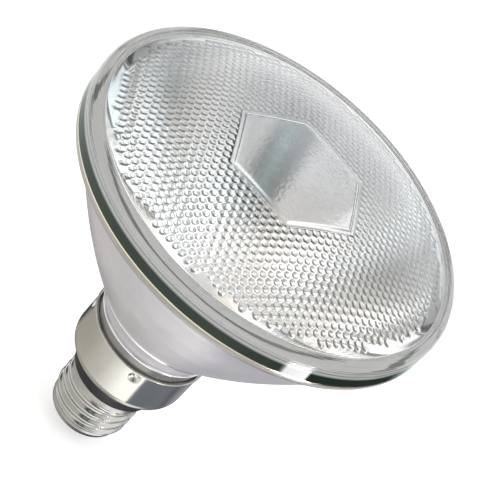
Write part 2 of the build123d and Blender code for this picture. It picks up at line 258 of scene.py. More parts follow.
# Patches of the sky: degrees right of the camera and above the floor, angles of core and edge, and colour
STUDIO_PATCHES = [
    (180.0, 14.0, 14.0, 32.0, (1.42, 1.47, 1.54)),
    (-84.0, 40.0, 7.0, 14.0, grey(0.05)),
    (-130.0, 5.0, 16.0, 34.0, (0.10, 0.10, 0.08)),
    (92.0, 36.0, 24.0, 40.0, (1.10, 1.09, 1.05)),
    (70.0, 9.0, 7.0, 16.0, (1.25, 1.25, 1.30)),
    (60.0, 54.0, 12.0, 24.0, (1.70, 1.90, 2.05)),
    (58.0, 47.0, 4.0, 10.0, (1.50, 1.75, 1.95)),
    (86.0, 44.0, 5.0, 10.0, (0.03, 0.03, 0.02)),
    (106.0, 32.0, 7.0, 12.0, (0.03, 0.03, 0.02)),
    (76.0, 50.0, 3.0, 9.0, (2.05, 1.70, 1.25)),
    (-50.0, 52.0, 8.0, 20.0, (1.06, 0.97, 0.86)),
]

# The streak in the window is a row of dark patches with a lighter middle a little to their right
streak_places = [(12.0, 39.0), (16.0, 31.0), (20.0, 24.0)]
streak_middle_shift = 3.0
for aside, above in streak_places:
    STUDIO_PATCHES.append((aside, above, 6.0, 15.0, (0.10, 0.12, 0.12)))
for aside, above in streak_places:
    STUDIO_PATCHES.append((aside + streak_middle_shift, above, 0.5, 5.0, (0.34, 0.45, 0.47)))


# Outlines, as points of (radius, height)
def sagitta_arc(start, end, bulge, steps):
    """Points of an arc in the (radius, height) plane that stands out to the left of its way by the bulge."""
    start = Vector(start)
    end = Vector(end)
    chord = end - start
    left = Vector((-chord.y, chord.x)).normalized()
    radius = (chord.length**2 / 4 + bulge**2) / (2 * abs(bulge))
    side = math.copysign(1, bulge)
    centre = (start + end) / 2 + left * (bulge - side * radius)
    half = math.asin(min(1, chord.length / 2 / radius))
    points = []
    for step in range(steps + 1):
        turn = half * (1 - 2 * step / steps)
        along = chord.normalized() * (-radius * math.sin(turn))
        points.append(tuple(centre + along + left * (side * radius * math.cos(turn))))
    return points


def quarter_bulge(radius):
    """How far a quarter circle stands out of its chord."""
    return radius * (1 - math.sqrt(0.5))


def quarter_roll(centre_radius, centre_height, radius):
    """Quarter circle from its outermost point up to its top."""
    points = []
    for step in range(small_arc_steps + 1):
        turn = math.pi / 2 * step / small_arc_steps
        points.append((centre_radius + radius * math.cos(turn), centre_height + radius * math.sin(turn)))
    return points


def straight_wall(radius, start, end, rows):
    """Points of an upright wall, evenly spaced from after its start to its end."""
    return [(radius, start + (end - start) * row / rows) for row in range(1, rows + 1)]


def smooth_rise(value):
    """Soft step from 0 to 1, for a number or an array."""
    value = np.clip(value, 0, 1)
    return value * value * (3 - 2 * value)


# Meshes
def ring_points(radius, height, segments, shift=None):
    """Vertices of one ring round the axis, in metres, with an optional change of radius by angle."""
    points = []
    for segment in range(segments):
        angle = 2 * math.pi * segment / segments
        reach = radius if shift is None else shift(angle, radius, height)
        points.append((reach * math.cos(angle) * MM, reach * math.sin(angle) * MM, height * MM))
    return points


def add_rings(vertices, profile, segments, shift=None):
    """Adds a ring of vertices for each profile point, or one on the axis, and lists their numbers."""
    rings = []
    for radius, height in profile:
        if radius < same_point:
            rings.append([len(vertices)] * segments)
            vertices.append((0, 0, height * MM))
            continue
        rings.append(range(len(vertices), len(vertices) + segments))
        vertices += ring_points(radius, height, segments, shift)
    return rings


def ring_strip(low, high):
    """Faces between two rings of vertices."""
    faces = []
    for segment in range(len(low)):
        after = (segment + 1) % len(low)
        corners = (low[segment], low[after], high[after], high[segment])
        faces.append(tuple(dict.fromkeys(corners)))
    return faces


def turned_piece(name, spans, segments, closed=False, shift=None):
    """Piece turned about Z from spans of (material, points)."""
    profile = []
    span_of = []
    materials = []
    for material, points in spans:
        if material not in materials:
            materials.append(material)
        for point in points:
            if profile and (Vector(point) - Vector(profile[-1])).length < same_point:
                continue
            if profile:
                span_of.append(materials.index(material))
            profile.append(point)
    vertices = []
    rings = add_rings(vertices, profile, segments, shift)
    if closed:
        rings.append(rings[0])
        span_of.append(span_of[-1])
    faces = []
    slots = []
    for low, high, slot in zip(rings, rings[1:], span_of):
        faces += ring_strip(low, high)
        slots += [slot] * segments
    return mesh_piece(name, vertices, faces, materials, slots, turned_sharp_angle)


def mesh_piece(name, vertices, faces, materials, slots, sharp_angle):
    """Smooth shaded piece from plain lists, its faces turned outward and its sharp edges marked by angle."""
    mesh = bpy.data.meshes.new(name)
    mesh.from_pydata(vertices, [], faces)
    mesh.polygons.foreach_set("material_index", slots)
    work = bmesh.new()
    work.from_mesh(mesh)
    bmesh.ops.recalc_face_normals(work, faces=work.faces)
    work.to_mesh(mesh)
    work.free()
    for material in materials:
        mesh.materials.append(material)
    mesh.shade_smooth()
    mesh.set_sharp_from_angle(angle=math.radians(sharp_angle))
    piece = bpy.data.objects.new(name, mesh)
    bpy.context.scene.collection.objects.link(piece)
    return piece


def stands_for(piece, node):
    """The piece rides on the lamp in place of a CAD node."""
    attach(piece, "root")
    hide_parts(node)


# Small helpers for shader nodes
def new_math(tree, operation, *values):
    """Math node whose inputs are sockets or plain numbers."""
    node = tree.nodes.new("ShaderNodeMath")
    node.operation = operation
    for socket, value in zip(node.inputs, values):
        if isinstance(value, (int, float)):
            socket.default_value = value
        else:
            tree.links.new(value, socket)
    return node.outputs[0]


def new_mix(tree, factor, colour_a):
    """Colour mix node with its factor and first colour linked."""
    mix = tree.nodes.new("ShaderNodeMix")
    mix.data_type = "RGBA"
    tree.links.new(factor, mix.inputs["Factor"])
    tree.links.new(colour_a, mix.inputs["A"])
    return mix


def new_ramp(tree, factor, stops):
    """Colour of a ramp with stops of (position, colour)."""
    node = tree.nodes.new("ShaderNodeValToRGB")
    ramp = node.color_ramp
    while len(ramp.elements) < len(stops):
        ramp.elements.new(1.0)
    for element, (position, colour) in zip(ramp.elements, stops):
        element.position = position
        element.color = (*colour, 1)
    tree.links.new(factor, node.inputs["Fac"])
    return node.outputs["Color"]


def new_noise(tree, vector, scale, detail):
    """Noise over a vector, at a scale from a socket."""
    noise = tree.nodes.new("ShaderNodeTexNoise")
    noise.inputs["Detail"].default_value = detail
    tree.links.new(vector, noise.inputs["Vector"])
    tree.links.new(scale, noise.inputs["Scale"])
    return noise.outputs["Fac"]


def new_spread(tree, noise):
    """Map range node that takes the middle part of a noise from 0 to 1."""
    spread = tree.nodes.new("ShaderNodeMapRange")
    spread.inputs["From Min"].default_value = noise_low
    spread.inputs["From Max"].default_value = noise_high
    tree.links.new(noise, spread.inputs["Value"])
    return spread


def object_place(tree):
    """Place in the piece's own frame, in metres."""
    return tree.nodes.new("ShaderNodeTexCoord").outputs["Object"]


def split_place(tree, place):
    """X, Y and Z of a place, by name."""
    parts = tree.nodes.new("ShaderNodeSeparateXYZ")
    tree.links.new(place, parts.inputs["Vector"])
    return parts.outputs


# Shader node groups that several finishes share
def new_group(name, inputs, outputs):
    """Empty shader node group with named sockets, given as (name, kind, default)."""
    group = bpy.data.node_groups.new(name, "ShaderNodeTree")
    for label, kind, default in inputs:
        socket = group.interface.new_socket(label, in_out="INPUT", socket_type=kind)
        socket.default_value = default
    for label, kind in outputs:
        group.interface.new_socket(label, in_out="OUTPUT", socket_type=kind)
    entry = group.nodes.new("NodeGroupInput")
    result = group.nodes.new("NodeGroupOutput")
    return group, entry, result


def build_handling_marks():
    """Soft cloudy change of a value between a low and a high one, as on a handled surface."""
    group, entry, result = new_group(
        "handling_marks",
        [
            ("Scale", "NodeSocketFloat", 60.0),
            ("Low", "NodeSocketFloat", 0.1),
            ("High", "NodeSocketFloat", 0.2),
        ],
        [("Value", "NodeSocketFloat")],
    )
    noise = new_noise(group, object_place(group), entry.outputs["Scale"], 5.0)
    spread = new_spread(group, noise)
    group.links.new(entry.outputs["Low"], spread.inputs["To Min"])
    group.links.new(entry.outputs["High"], spread.inputs["To Max"])
    group.links.new(spread.outputs["Result"], result.inputs["Value"])
    return group


def build_drawn_rings():
    """Fine rings round the lamp's axis, as drawing or spinning leaves them in sheet metal and moulds."""
    group, entry, result = new_group(
        "drawn_rings", [("Rings Per Metre", "NodeSocketFloat", 2000.0)], [("Height", "NodeSocketFloat")]
    )
    parts = split_place(group, object_place(group))
    across = new_math(group, "POWER", parts["X"], 2.0)
    along = new_math(group, "POWER", parts["Y"], 2.0)
    radius = new_math(group, "SQRT", new_math(group, "ADD", across, along))
    noise = group.nodes.new("ShaderNodeTexNoise")
    noise.noise_dimensions = "1D"
    noise.inputs["Detail"].default_value = 3.0
    group.links.new(new_math(group, "ADD", radius, parts["Z"]), noise.inputs["W"])
    group.links.new(entry.outputs["Rings Per Metre"], noise.inputs["Scale"])
    group.links.new(noise.outputs["Fac"], result.inputs["Height"])
    return group


def build_pressed_grain():
    """Small uneven grain that pressing or casting leaves on a face."""
    group, entry, result = new_group(
        "pressed_grain", [("Grains Per Metre", "NodeSocketFloat", 400.0)], [("Height", "NodeSocketFloat")]
    )
    noise = new_noise(group, object_place(group), entry.outputs["Grains Per Metre"], 2.0)
    group.links.new(noise, result.inputs["Height"])
    return group


def build_tone_drift():
    """Slow drift between two colours, over the surface and in streaks that run up it."""
    group, entry, result = new_group(
        "tone_drift",
        [
            ("Colour A", "NodeSocketColor", (0.5, 0.5, 0.5, 1)),
            ("Colour B", "NodeSocketColor", (0.6, 0.6, 0.6, 1)),
            ("Scale", "NodeSocketFloat", 30.0),
            ("Streak", "NodeSocketFloat", 0.15),
        ],
        [("Colour", "NodeSocketColor")],
    )
    squeeze = group.nodes.new("ShaderNodeCombineXYZ")
    squeeze.inputs["X"].default_value = 1.0
    squeeze.inputs["Y"].default_value = 1.0
    group.links.new(entry.outputs["Streak"], squeeze.inputs["Z"])
    stretch = group.nodes.new("ShaderNodeVectorMath")
    stretch.operation = "MULTIPLY"
    group.links.new(object_place(group), stretch.inputs[0])
    group.links.new(squeeze.outputs["Vector"], stretch.inputs[1])
    noise = new_noise(group, stretch.outputs["Vector"], entry.outputs["Scale"], 4.0)
    mix = new_mix(group, new_spread(group, noise).outputs["Result"], entry.outputs["Colour A"])
    group.links.new(entry.outputs["Colour B"], mix.inputs["B"])
    group.links.new(mix.outputs["Result"], result.inputs["Colour"])
    return group


HANDLING_MARKS = build_handling_marks()
DRAWN_RINGS = build_drawn_rings()
PRESSED_GRAIN = build_pressed_grain()
TONE_DRIFT = build_tone_drift()


# Effects that a finish can take
def place_group(tree, group, **values):
    """Group node in a material, with its inputs set by name (spaces written as underscores)."""
    node = tree.nodes.new("ShaderNodeGroup")
    node.node_tree = group
    for label, value in values.items():
        node.inputs[label.replace("_", " ")].default_value = value
    return node


def shader_of(material):
    return material.node_tree.nodes["Principled BSDF"]


def new_finish(name, **sockets):
    """Material with plain values on its shader's sockets (spaces written as underscores)."""
    material = bpy.data.materials.new(name)
    material.use_nodes = True
    for label, value in sockets.items():
        shader_of(material).inputs[label.replace("_", " ")].default_value = value
    return material


def add_tone(material, colour_a, colour_b, scale, streak=1.0):
    """Colour that drifts between two tones."""
    tree = material.node_tree
    tone = place_group(
        tree, TONE_DRIFT, Colour_A=(*colour_a, 1), Colour_B=(*colour_b, 1), Scale=scale, Streak=streak
    )
    tree.links.new(tone.outputs["Colour"], shader_of(material).inputs["Base Color"])


def add_roughness(material, low, high, scale):
    """Roughness that drifts between two values."""
    tree = material.node_tree
    marks = place_group(tree, HANDLING_MARKS, Scale=scale, Low=low, High=high)
    tree.links.new(marks.outputs["Value"], shader_of(material).inputs["Roughness"])


def add_relief(material, group, strength, depth, **values):
    """Bump from one of the relief groups, its depth in millimetres."""
    tree = material.node_tree
    relief = place_group(tree, group, **values)
    bump = tree.nodes.new("ShaderNodeBump")
    bump.inputs["Strength"].default_value = strength
    bump.inputs["Distance"].default_value = depth * MM
    tree.links.new(relief.outputs["Height"], bump.inputs["Height"])
    tree.links.new(bump.outputs["Normal"], shader_of(material).inputs["Normal"])


def add_ring_tone(material, dark, pale, rings_per_metre):
    """Pale colour with fine dark lines round the axis."""
    tree = material.node_tree
    rings = place_group(tree, DRAWN_RINGS, Rings_Per_Metre=rings_per_metre)
    stops = [(ring_line_edge, dark), (ring_line_edge + ring_line_blur, pale)]
    colour = new_ramp(tree, rings.outputs["Height"], stops)
    tree.links.new(colour, shader_of(material).inputs["Base Color"])


def add_flange_painted_reflection(material):
    """Painted reflection: a dark green band of reflected dark surroundings on the flange's glass, turning
    pale toward the lens.
    """
    tree = material.node_tree
    rise = tree.nodes.new("ShaderNodeMapRange")
    rise.inputs["From Min"].default_value = (seam - flange_painted_reflection_low) * MM
    rise.inputs["From Max"].default_value = (seam - flange_painted_reflection_top) * MM
    tree.links.new(split_place(tree, object_place(tree))["Z"], rise.inputs["Value"])
    colour = new_ramp(tree, rise.outputs["Result"], [(0.0, flange_painted_dark_reflection), (1.0, flange_painted_pale_reflection)])
    tree.links.new(colour, shader_of(material).inputs["Base Color"])


# Finishes, by the part of the lamp that they are on
def clear_glass(name, colour, refraction, roughness, marks_scale):
    """Glass that lets light through, with roughness as (low, high)."""
    material = new_finish(name, Base_Color=(*colour, 1), Transmission_Weight=1.0, IOR=refraction)
    add_roughness(material, *roughness, marks_scale)
    return material


def ringed_film(name, tones, rings_per_metre, roughness, marks_scale, metallic):
    """Pale film with dark ring lines, its tones as (dark, pale)."""
    material = new_finish(name, Metallic=metallic)
    add_ring_tone(material, *tones, rings_per_metre)
    add_roughness(material, *roughness, marks_scale)
    return material


def toned_finish(name, tones, tone_scale, roughness, marks_scale, streak=1.0, **sockets):
    """Surface whose colour and roughness drift."""
    material = new_finish(name, **sockets)
    add_tone(material, *tones, tone_scale, streak)
    add_roughness(material, *roughness, marks_scale)
    return material


def metal(name, tones, tone_scale, roughness, marks_scale):
    return toned_finish(name, tones, tone_scale, roughness, marks_scale, Metallic=1.0)


def lens_finishes():
    lens = clear_glass("lens_glass", (0.98, 0.985, 0.98), lens_refraction, (0.0, 0.03), 40.0)

    window = clear_glass("window_satin_glass", (0.985, 0.98, 0.975), lens_refraction, (0.04, 0.08), 300.0)
    add_relief(window, PRESSED_GRAIN, 1.0, 0.13, Grains_Per_Metre=900.0)

    lens_edge = clear_glass("lens_edge_glass", (0.98, 0.985, 0.98), lens_refraction, (0.0, 0.02), 60.0)
    add_relief(lens_edge, DRAWN_RINGS, 1.0, 0.12, Rings_Per_Metre=800.0)

    lens_seam = ringed_film(
        "lens_seam_film", [(0.30, 0.31, 0.30), (0.99, 0.99, 0.98)], 2200.0, (0.28, 0.38), 60.0, metallic=0.0
    )
    return {"lens": lens, "window": window, "lens_edge": lens_edge, "lens_seam": lens_seam}


def bowl_finishes():
    mirror = metal("mirror_film", [(0.88, 0.89, 0.90), (0.93, 0.93, 0.93)], 40.0, (0.03, 0.08), 50.0)

    land = ringed_film(
        "land_satin_film", [(0.34, 0.35, 0.34), (0.95, 0.95, 0.94)], 800.0, (0.30, 0.40), 60.0, metallic=0.2
    )

    bowl = toned_finish(
        "bowl_satin_glass", [(0.62, 0.59, 0.62), (0.74, 0.71, 0.74)], 55.0, (0.34, 0.44), 70.0,
        streak=0.2, Metallic=0.25, Coat_Weight=0.35, Coat_Roughness=0.2,
    )
    add_relief(bowl, DRAWN_RINGS, 0.5, 0.6, Rings_Per_Metre=110.0)

    # Painted reflection: the flange's colour is a dark band of reflected surroundings, pale toward the lens
    flange = new_finish("flange_painted_reflection_glass")
    add_flange_painted_reflection(flange)
    add_roughness(flange, 0.015, 0.035, 90.0)

    # Painted highlight: the thin cream-gold band stands in for the highlight on the flange's edge
    painted_highlight_line = metal(
        "flange_painted_highlight_line", [(0.88, 0.80, 0.62), (0.96, 0.90, 0.74)], 120.0, (0.12, 0.22), 120.0
    )

    # Painted shade: the rolled shoulder under the flange is a darker copy of the bowl's satin glass
    shoulder = toned_finish(
        "bowl_shoulder_glass", [(0.36, 0.33, 0.32), (0.46, 0.43, 0.42)], 55.0, (0.3, 0.4), 70.0,
        Metallic=0.25, Coat_Weight=0.3, Coat_Roughness=0.2,
    )

    # Partly real and partly painted: the beads' gloss is their own, and their colour, lighter than the bowl's
    # glass, is a painted highlight
    bead_highlight = toned_finish(
        "bead_painted_highlight_glass", [(0.78, 0.76, 0.77), (0.88, 0.86, 0.87)], 120.0, (0.10, 0.16), 120.0,
        Metallic=0.8, Coat_Weight=0.6, Coat_Roughness=0.05,
    )

    # Painted shade: the neck in the recess between the bowl's foot and the skirt is a darker copy of the
    # bowl's glass
    neck = toned_finish(
        "neck_glass", [(0.24, 0.235, 0.22), (0.33, 0.32, 0.31)], 120.0, (0.2, 0.3), 120.0,
        Metallic=0.3, Coat_Weight=0.3, Coat_Roughness=0.1,
    )
    return {
        "mirror": mirror,
        "land": land,
        "bowl": bowl,
        "flange": flange,
        "painted_highlight_line": painted_highlight_line,
        "shoulder": shoulder,
        "bead_highlight": bead_highlight,
        "neck": neck,
    }


def cap_finishes():
    skirt = metal("skirt_bright_metal", [(0.50, 0.485, 0.45), (0.58, 0.565, 0.53)], 70.0, (0.10, 0.17), 130.0)
    add_relief(skirt, DRAWN_RINGS, 0.15, 0.02, Rings_Per_Metre=3500.0)

    shell = metal("shell_bright_metal", [(0.55, 0.54, 0.51), (0.66, 0.65, 0.62)], 150.0, (0.1, 0.18), 180.0)

    moulding = toned_finish(
        "black_moulding", [(0.012, 0.009, 0.011), (0.03, 0.024, 0.027)], 200.0, (0.35, 0.5), 250.0,
        Specular_IOR_Level=0.4,
    )
    add_relief(moulding, PRESSED_GRAIN, 0.3, 0.05, Grains_Per_Metre=1500.0)

    cap = toned_finish(
        "black_cap_glass", [(0.008, 0.008, 0.01), (0.02, 0.02, 0.024)], 150.0, (0.08, 0.16), 150.0,
        Specular_IOR_Level=0.55,
    )

    brass = metal("contact_brass", [(0.68, 0.52, 0.27), (0.78, 0.63, 0.36)], 200.0, (0.22, 0.36), 220.0)

    solder = metal("solder", [(0.55, 0.55, 0.55), (0.70, 0.70, 0.69)], 300.0, (0.25, 0.45), 300.0)
    add_relief(solder, PRESSED_GRAIN, 0.4, 0.08, Grains_Per_Metre=900.0)
    return {
        "skirt": skirt,
        "shell": shell,
        "moulding": moulding,
        "cap": cap,
        "brass": brass,
        "solder": solder,
    }


def inner_finishes():
    quartz = clear_glass("burner_quartz", (0.97, 0.97, 0.98), quartz_refraction, (0.0, 0.04), 150.0)

    wire = metal("grey_wire", [(0.30, 0.30, 0.31), (0.42, 0.42, 0.43)], 600.0, (0.3, 0.45), 600.0)

    nickel = metal("post_nickel", [(0.58, 0.57, 0.54), (0.68, 0.66, 0.63)], 300.0, (0.22, 0.34), 300.0)

    copper = metal("copper_wire", [(0.66, 0.36, 0.2), (0.78, 0.46, 0.28)], 400.0, (0.28, 0.42), 400.0)

    sleeve = toned_finish(
        "fibre_sleeve", [(0.72, 0.69, 0.6), (0.82, 0.8, 0.72)], 500.0, (0.75, 0.9), 500.0, Sheen_Weight=0.2
    )
    add_relief(sleeve, PRESSED_GRAIN, 0.6, 0.1, Grains_Per_Metre=2500.0)
    return {"quartz": quartz, "wire": wire, "nickel": nickel, "copper": copper, "sleeve": sleeve}


# Lens: smooth dome outside, stipple and window inside
LENS_FINISHES = ["lens", "window", "lens_seam", "lens_edge"]
dome_edge = rim_radius - lens_roll - lens_groove_width
roll_top = seam + lens_band + lens_roll
dome_sag = apex - roll_top
dome_radius = (dome_edge**2 + dome_sag**2) / (2 * dome_sag)
dome_centre = apex - dome_radius
inner_radius = dome_radius - lens_thickness
bore_radius = rim_radius - seam_width


def dome_height(sphere, radius):
    """Level of one of the dome's spheres at a distance from the axis."""
    return dome_centre + math.sqrt(sphere**2 - radius**2)


def window_reach(x, y):
    """Distance of plan points from the axis, square to the nearest side of the six-sided window."""
    reach = np.zeros(x.shape)
    for side in range(3):
        angle = window_turn + math.pi / 3 * side
        reach = np.maximum(reach, np.abs(x * math.cos(angle) + y * math.sin(angle)))
    return reach


def stipple_relief(x, y, reach):
    """How far the lens's inner face stands in at plan points: stipple bumps, and the window's rib."""
    half = stipple_pitch / 2
    row = stipple_pitch * math.sqrt(3) / 2
    nearest = np.full(x.shape, np.inf)
    centre_radius = np.zeros(x.shape)
    lane = np.round(y / row)
    for lane_step in (-1, 0, 1):
        centre_lane = lane + lane_step
        offset = centre_lane * half
        centre_x = np.round((x - offset) / stipple_pitch) * stipple_pitch + offset
        centre_y = centre_lane * row
        distance = np.hypot(x - centre_x, y - centre_y)
        closer = distance < nearest
        nearest = np.where(closer, distance, nearest)
        centre_radius = np.where(closer, np.hypot(centre_x, centre_y), centre_radius)
    rib_edge = window_apothem + window_rib_width
    bump = stipple_height * np.clip(1 - (nearest / half) ** 2, 0, 1)
    bump[(centre_radius > stipple_field_radius) | (reach < rib_edge)] = 0
    rib = smooth_rise(np.minimum(reach - window_apothem, rib_edge - reach) / window_rib_ramp)
    return np.maximum(bump, window_rib_height * rib)


def stipple_grid():
    """Inner face of the lens on a triangle grid: points, triangles, and which triangles are the window."""
    step = stipple_pitch / stipple_steps
    count = int(bore_radius / step * grid_spare)
    numbers = np.arange(-count, count + 1)
    column, lane = np.meshgrid(numbers, numbers, indexing="ij")
    x = (column + lane / 2) * step
    y = lane * step * math.sqrt(3) / 2
    inside = np.hypot(x, y) < bore_radius - step
    corner = np.full(x.shape, -1)
    corner[inside] = np.arange(inside.sum())
    x, y = x[inside], y[inside]
    first, beside = corner[:-1, :-1], corner[1:, :-1]
    above, across = corner[:-1, 1:], corner[1:, 1:]
    lower_half = np.stack([first, above, beside], -1).reshape(-1, 3)
    upper_half = np.stack([beside, above, across], -1).reshape(-1, 3)
    triangles = np.concatenate([lower_half, upper_half])
    triangles = triangles[(triangles >= 0).all(1)]
    reach = window_reach(x, y)
    scale = (inner_radius - stipple_relief(x, y, reach)) / inner_radius
    height = np.sqrt(inner_radius**2 - x**2 - y**2)
    points = np.stack([x * scale, y * scale, dome_centre + height * scale], -1)
    return points, triangles, reach[triangles].max(1) < window_apothem


def grid_border(triangles):
    """Corners on the outer edge of a triangle grid."""
    edges = np.concatenate([triangles[:, [0, 1]], triangles[:, [1, 2]], triangles[:, [2, 0]]])
    pairs, uses = np.unique(np.sort(edges, 1), axis=0, return_counts=True)
    return np.unique(pairs[uses == 1]).tolist()


def stitched(vertices, border, ring):
    """Triangles between a grid's edge and the ring round it, both taken in order of their angle."""

    def turn(corner):
        return math.atan2(vertices[corner][1], vertices[corner][0]) % (2 * math.pi)

    border = sorted(border, key=turn)
    ring = sorted(ring, key=turn)
    border_turns = [turn(corner) for corner in border] + [turn(border[0]) + 2 * math.pi]
    ring_turns = [turn(corner) for corner in ring] + [turn(ring[0]) + 2 * math.pi]
    border.append(border[0])
    ring.append(ring[0])
    faces = []
    inner = 0
    outer = 0
    while inner < len(border) - 1 or outer < len(ring) - 1:
        ring_first = inner == len(border) - 1
        if outer < len(ring) - 1 and not ring_first:
            ring_first = ring_turns[outer + 1] < border_turns[inner + 1]
        if ring_first:
            faces.append((border[inner], ring[outer], ring[outer + 1]))
            outer += 1
        else:
            faces.append((border[inner], ring[outer], border[inner + 1]))
            inner += 1
    return faces


def lens_outline():
    """Points from the bore under the seam and over the rolled edge to the top, and each strip's finish."""
    roll_radius = rim_radius - lens_roll
    groove = sagitta_arc((roll_radius, roll_top), (dome_edge, roll_top), lens_groove_depth, tiny_arc_steps)
    bore = [(bore_radius, dome_height(inner_radius, bore_radius)), (bore_radius, seam + seam_gap)]
    edge = [
        (rim_radius, seam + seam_gap),
        *quarter_roll(roll_radius, roll_top - lens_roll, lens_roll),
        *groove[1:],
    ]
    dome = []
    for ring in range(dome_rings - 1, 0, -1):
        radius = dome_edge * ring / dome_rings
        dome.append((radius, dome_height(dome_radius, radius)))
    dome.append((0, apex))
    strips = ["lens", "lens_seam"] + ["lens_edge"] * (len(edge) - 1) + ["lens"] * len(dome)
    return bore + edge + dome, strips


def build_lens(finishes):
    points, triangles, in_window = stipple_grid()
    vertices = (points * MM).tolist()
    faces = triangles.tolist()
    parts = ["window" if window else "lens" for window in in_window]
    outline, strips = lens_outline()
    rings = add_rings(vertices, outline, lens_segments)
    for low, high, strip in zip(rings, rings[1:], strips):
        faces += ring_strip(low, high)
        parts += [strip] * lens_segments
    joint = stitched(vertices, grid_border(triangles), rings[0])
    faces += joint
    parts += ["lens"] * len(joint)
    glass = [finishes[name] for name in LENS_FINISHES]
    slots = [LENS_FINISHES.index(part) for part in parts]
    lens = mesh_piece("lens", vertices, faces, glass, slots, lens_sharp_angle)
    stands_for(lens, "front_lens")


# Reflector: mirror inside, land under the lens, a flange with a painted dark reflection and a painted
# highlight line, satin bowl with painted shade on its shoulder, beads with painted highlights and a neck with
# painted shade outside
def mirror_outline(bottom):
    """Parabola of the mirror from the axis to the lens's bore."""
    top = seam - mirror_margin
    points = []
    for ring in range(mirror_rings + 1):
        radius = bore_radius * ring / mirror_rings
        points.append((radius, bottom + (top - bottom) * (radius / bore_radius) ** 2))
    return points


def neck_outline(top, back):
    """Neck with its crimp groove, its open end, and the sealed tip on the back of the bowl inside it."""
    crimp_level = skirt_top - crimp_drop
    groove_half = math.sqrt(crimp_groove_radius**2 - (crimp_groove_centre - neck_radius) ** 2)
    groove_depth = neck_radius - (crimp_groove_centre - crimp_groove_radius)
    groove_top = (neck_radius, crimp_level + groove_half)
    groove_low = (neck_radius, crimp_level - groove_half)
    tip_side = (tip_radius, back - tip_length + tip_radius)
    tip_end = (0, back - tip_length)
    return [
        (neck_radius, top),
        *sagitta_arc(groove_top, groove_low, -groove_depth, middle_arc_steps),
        (neck_radius, neck_bottom),
        (neck_bore, neck_bottom),
        (neck_bore, back),
        (tip_radius, back),
        *sagitta_arc(tip_side, tip_end, quarter_bulge(tip_radius), small_arc_steps),
    ]


def build_reflector(finishes):
    mirror_bottom = skirt_top + mirror_floor
    land = [(bore_radius, seam), (rim_radius, seam)]
    highlight_line_top = seam - painted_highlight_line_top
    flange_low = (rim_radius, seam - flange_band)
    flange_foot = (rim_radius - flange_overhang, seam - flange_band - flange_roll)
    bowl_top = (flange_foot[0] - flange_ledge, flange_foot[1])
    shoulder = [*sagitta_arc(flange_low, flange_foot, flange_roll_bulge, middle_arc_steps), bowl_top]
    bowl_foot = skirt_top + bowl_foot_height
    bead_top = (bowl_foot_radius, bowl_foot)
    bead_low = (bowl_foot_radius - bead_setback, bowl_foot - bead_drop)
    neck_top = skirt_top + neck_reveal
    cove_low = (lower_bead_face, neck_top + 2 * lower_bead_radius)
    lower_bead_low = (lower_bead_face, neck_top)
    spans = [
        (finishes["mirror"], mirror_outline(mirror_bottom)),
        (finishes["land"], land),
        # Flange with its painted dark reflection
        (finishes["flange"], [(rim_radius, highlight_line_top)]),
        # Painted highlight line under the flange
        (finishes["painted_highlight_line"], [(rim_radius, highlight_line_top - painted_highlight_line_height)]),
        # Shoulder under the flange with painted shade
        (finishes["shoulder"], shoulder),
        (finishes["bowl"], sagitta_arc(bowl_top, bead_top, bowl_bulge, bowl_side_steps)),
        # Upper bead with a painted highlight
        (finishes["bead_highlight"], sagitta_arc(bead_top, bead_low, bead_rise, small_arc_steps)),
        (finishes["bowl"], sagitta_arc(bead_low, cove_low, -cove_depth, large_arc_steps)),
        # Lower bead with a painted highlight
        (finishes["bead_highlight"], sagitta_arc(cove_low, lower_bead_low, lower_bead_radius, large_arc_steps)),
        # Neck with painted shade
        (finishes["neck"], neck_outline(neck_top, mirror_bottom - back_wall)),
    ]
    bowl_piece = turned_piece("mirrored_bowl", spans, bowl_segments)
    stands_for(bowl_piece, "reflector")


# Skirt: drawn cup with a turned top edge and crimps pressed into the glass neck
def crimped(angle, radius, height):
    """Radius of the skirt's wall where the crimps press it in."""
    dent = 0
    for crimp in range(crimp_count):
        turn = angle - crimp_start - 2 * math.pi * crimp / crimp_count
        turn = (turn + math.pi) % (2 * math.pi) - math.pi
        distance = math.hypot(turn * skirt_radius, height - skirt_top + crimp_drop)
        dent += crimp_depth * max(0, 1 - (distance / crimp_reach) ** 2) ** 2
    return radius - dent


def build_skirt(finishes):
    edge_radius = skirt_radius + skirt_edge_reach
    edge_foot = skirt_top - skirt_edge_height - skirt_edge_reach
    skirt_bore = skirt_radius - skirt_wall
    inner_corner = skirt_corner - skirt_wall
    wall_low = skirt_bottom + skirt_corner
    floor_level = skirt_bottom + skirt_wall
    corner_low = (skirt_radius - skirt_corner, skirt_bottom)
    corner_top = (skirt_radius, wall_low)
    outside = [
        (skirt_lip_bore, skirt_bottom),
        *sagitta_arc(corner_low, corner_top, -quarter_bulge(skirt_corner), large_arc_steps),
        *straight_wall(skirt_radius, wall_low, edge_foot, skirt_wall_rows),
    ]
    roll_low = (edge_radius, skirt_top - skirt_edge_reach)
    edge = [
        (edge_radius, edge_foot + skirt_edge_reach),
        *sagitta_arc(roll_low, (skirt_radius, skirt_top), -skirt_edge_roll, tiny_arc_steps),
        (skirt_bore, skirt_top),
    ]
    inner_low = (skirt_bore - inner_corner, floor_level)
    inside = [
        *straight_wall(skirt_bore, skirt_top, wall_low, skirt_wall_rows),
        *sagitta_arc((skirt_bore, wall_low), inner_low, quarter_bulge(inner_corner), small_arc_steps),
        (skirt_lip_bore, floor_level),
    ]
    spans = [(finishes["skirt"], outside + edge + inside)]
    skirt = turned_piece("crimped_skirt", spans, skirt_segments, closed=True, shift=crimped)
    stands_for(skirt, "skirt")


# Screw shell: one thin rolled wall with a rounded right-hand thread
shell_cup_top = shell_bottom + shell_cup_height
shell_band_low = shell_top - shell_band_height


